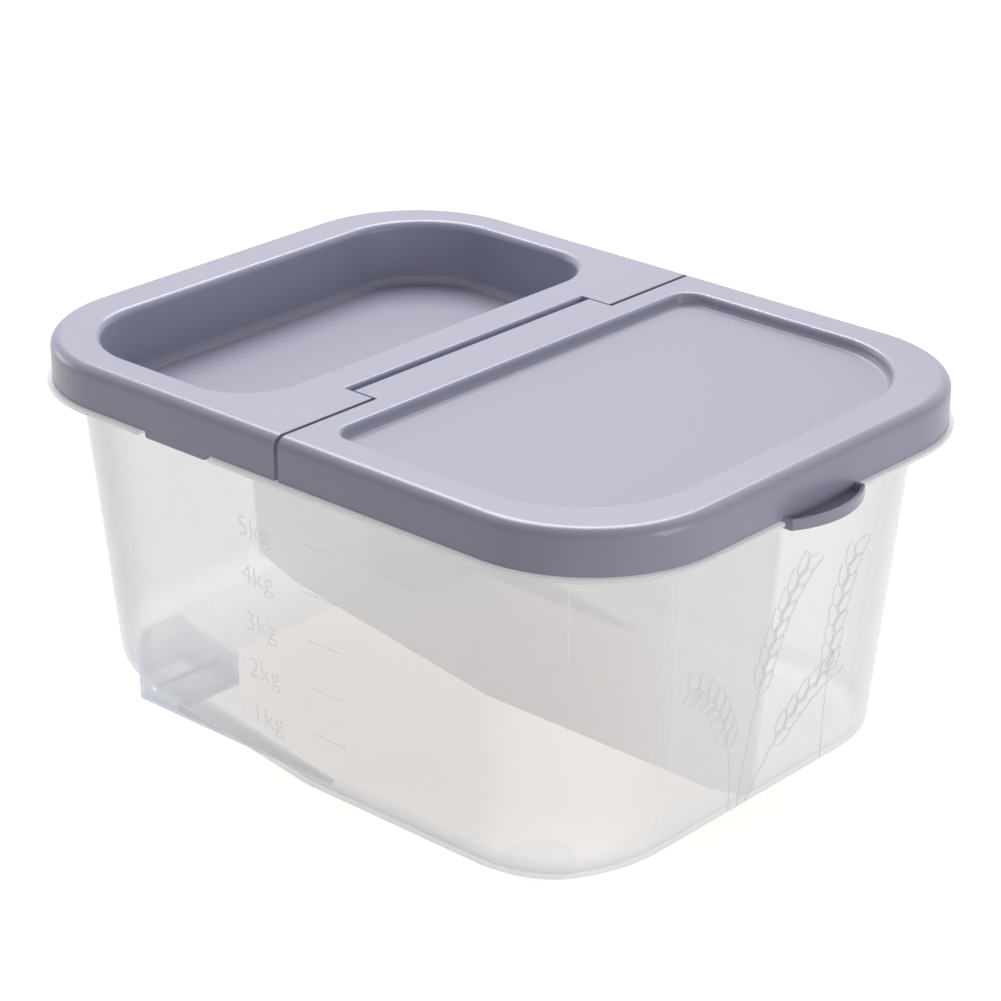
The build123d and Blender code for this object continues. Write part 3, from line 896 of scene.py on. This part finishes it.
class RICEBOX_OT_sprigs(PieceMaker, bpy.types.Operator):
    """Prints outlined rice sprigs on the end wall under the thumb tab"""

    bl_idname = "ricebox.sprigs"
    bl_label = "Sprigs"

    def execute(self, context):
        marks = self.marks
        ink = print_ink(self.looks)
        tree = sprig_tree(ink)
        wall = wall_place(Vector((1, 0, 0)), Vector((0, 1, 0)))
        drawn = []
        for line in STEMS:
            foot, bow, tip = (Vector((*point, 0)) * MM for point in (line.foot, line.bow, line.tip))
            values = {
                "Foot": foot, "Bow": bow, "Tip": tip, "Grains": line.grains, "Bare Share": line.bare_share,
                "Grain Length": marks.grain_length, "Grain Width": marks.grain_width,
                "Splay": marks.grain_splay, "Line": marks.sprig_line, "Film": marks.film,
            }
            stem = grown_mesh(tree, values)
            stem.transform(wall @ Matrix.Translation((0, 0, marks.film / 2)))
            drawn.append(stem)
        new_piece("rice_sprigs", joined("rice_sprigs", drawn), ink, TUB_BODY)
        return {"FINISHED"}


class RICEBOX_OT_stage(PieceMaker, bpy.types.Operator):
    """Sets the floor, the light and the camera"""

    bl_idname = "ricebox.stage"
    bl_label = "Stage"

    def execute(self, context):
        setting = self.setting
        self.make_floor()
        self.make_sky()
        self.make_lamp("key_lamp", setting.key_power, setting.key_size, setting.key_place)
        self.make_lamp("tab_end_lamp", setting.tab_end_power, setting.low_size, setting.tab_end_place)
        self.make_lamp("wheel_end_lamp", setting.wheel_end_power, setting.low_size, setting.wheel_end_place)
        self.make_camera()
        context.scene.view_settings.view_transform = "Standard"
        context.scene.cycles.transparent_max_bounces = SIGHT_FACES
        return {"FINISHED"}

    def seen(self, board):
        """1 for rays that show the stage itself, and 0 for those that only carry its light."""
        path = board.node("ShaderNodeLightPath")
        rays = [Wire(board, path.outputs[f"Is {kind} Ray"]) for kind in ("Camera", "Glossy", "Transmission")]
        return board.maths("MAXIMUM", board.maths("MAXIMUM", rays[0], rays[1]), rays[2])

    def make_floor(self):
        """A wide disc under the box."""
        mesh = bpy.data.meshes.new("floor")
        disc = bmesh.new()
        bmesh.ops.create_circle(disc, cap_ends=True, segments=FLOOR_SIDES, radius=self.setting.floor_radius)
        disc.to_mesh(mesh)
        disc.free()
        mesh.materials.append(self.floor_finish())
        floor = bpy.data.objects.new("floor", mesh)
        bpy.context.scene.collection.objects.link(floor)

    def floor_finish(self):
        """Pale floor that takes the box's shadow. Seen, it glows: a painted warm glow under the box, and
        white past it.
        """
        setting = self.setting
        made = Finish("floor_pale", FLOOR)
        seen = self.seen(made)
        faint = colour(shade(setting.floor_colour, setting.floor_shadow))
        tint = made.blend(seen, made.tint(setting.floor_colour), faint)
        matte = made.wire("ShaderNodeBsdfDiffuse", None, {"Color": tint})
        size = cad_box[1] - cad_box[0]
        spread = {"Vector": made.place, "Scale": (2 / size.x, 2 / size.y, 0)}
        spread = made.wire("ShaderNodeMapping", None, spread)
        reach = made.wire("ShaderNodeVectorMath", {"operation": "LENGTH"}, {0: spread}, "Value")
        near, far = setting.floor_near_share, setting.floor_far_share
        white = made.ramp((reach - near) / (far - near), [(0.0, 0.0), (1.0, 1.0)])
        lift = setting.floor_lift + (1.0 - setting.floor_lift) * white
        # Painted warm light under the box, turning white past it
        warm_painted_glow = made.blend(white, colour(setting.floor_painted_warmth), WHITE)
        glow = made.wire("ShaderNodeEmission", None, {"Color": warm_painted_glow, "Strength": seen * lift})
        both = made.wire("ShaderNodeAddShader", None, {0: matte, 1: glow})
        made.node("ShaderNodeOutputMaterial", None, {"Surface": both})
        return made.material

    def make_sky(self):
        """White where it is seen, and a dimmer even light on everything else."""
        world = bpy.data.worlds.new("studio")
        world.use_nodes = True
        bpy.context.scene.world = world
        board = Board(world.node_tree)
        board.tree.nodes.clear()
        seen = self.seen(board)
        strength = self.setting.sky + (1.0 - self.setting.sky) * seen
        light = board.wire("ShaderNodeBackground", None, {"Color": WHITE, "Strength": strength})
        board.node("ShaderNodeOutputWorld", None, {"Surface": light})

    def make_lamp(self, name, power, size, place):
        """A square lamp that looks at the middle of the box."""
        data = bpy.data.lights.new(name, "AREA")
        data.energy = power
        data.size = size
        lamp = bpy.data.objects.new(name, data)
        bpy.context.scene.collection.objects.link(lamp)
        middle = (cad_box[0] + cad_box[1]) / 2
        lamp.location = place
        lamp.rotation_euler = (middle - Vector(place)).to_track_quat("-Z", "Y").to_euler()

    def make_camera(self):
        """A camera at the photograph's viewing angle."""
        setting = self.setting
        data = bpy.data.cameras.new("camera")
        data.lens = setting.lens
        data.sensor_width = SENSOR_WIDTH
        camera = bpy.data.objects.new("camera", data)
        bpy.context.scene.collection.objects.link(camera)
        level = math.cos(setting.elevation)
        back = Vector((math.sin(setting.azimuth) * level, -math.cos(setting.azimuth) * level,
                       math.sin(setting.elevation)))
        right = Vector((math.cos(setting.azimuth), math.sin(setting.azimuth), 0))
        turn = Matrix((right, back.cross(right), back)).transposed().to_4x4()
        place = Matrix.Translation(Vector(setting.aim) + back * setting.distance)
        camera.matrix_world = place @ turn @ Matrix.Rotation(setting.roll, 4, "Z")
        bpy.context.scene.camera = camera


class RICEBOX_PT_panel(bpy.types.Panel):
    """Sizes, colours and pieces of the rice storage box"""

    bl_idname = "RICEBOX_PT_panel"
    bl_label = "Rice Storage Box"
    bl_space_type = "VIEW_3D"
    bl_region_type = "UI"
    bl_category = "Rice Box"

    def draw(self, context):
        scene = context.scene
        for operator in OPERATORS:
            self.layout.operator(operator.bl_idname)
        for group in (scene.rice_box_looks, scene.rice_box_print, scene.rice_box_stage):
            box = self.layout.box()
            for name in group.__annotations__:
                box.prop(group, name)


OPERATORS = (
    RICEBOX_OT_lids,
    RICEBOX_OT_tub,
    RICEBOX_OT_divider,
    RICEBOX_OT_seals,
    RICEBOX_OT_running_gear,
    RICEBOX_OT_scale,
    RICEBOX_OT_sprigs,
    RICEBOX_OT_stage,
)
GROUPS = (RiceBoxLooks, RiceBoxPrint, RiceBoxStage)


def register():
    """Adds the groups, the operators and the panel to Blender."""
    for group in (*GROUPS, *OPERATORS, RICEBOX_PT_panel):
        bpy.utils.register_class(group)
    bpy.types.Scene.rice_box_looks = PointerProperty(type=RiceBoxLooks)
    bpy.types.Scene.rice_box_print = PointerProperty(type=RiceBoxPrint)
    bpy.types.Scene.rice_box_stage = PointerProperty(type=RiceBoxStage)


def unregister():
    """Takes them out again."""
    del bpy.types.Scene.rice_box_stage
    del bpy.types.Scene.rice_box_print
    del bpy.types.Scene.rice_box_looks
    for group in reversed((*GROUPS, *OPERATORS, RICEBOX_PT_panel)):
        bpy.utils.unregister_class(group)


def main():
    """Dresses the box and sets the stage."""
    register()
    bpy.ops.ricebox.lids()
    bpy.ops.ricebox.tub()
    bpy.ops.ricebox.divider()
    bpy.ops.ricebox.seals()
    bpy.ops.ricebox.running_gear()
    bpy.ops.ricebox.scale()
    bpy.ops.ricebox.sprigs()
    bpy.ops.ricebox.stage()


if __name__ == "__main__":
    main()
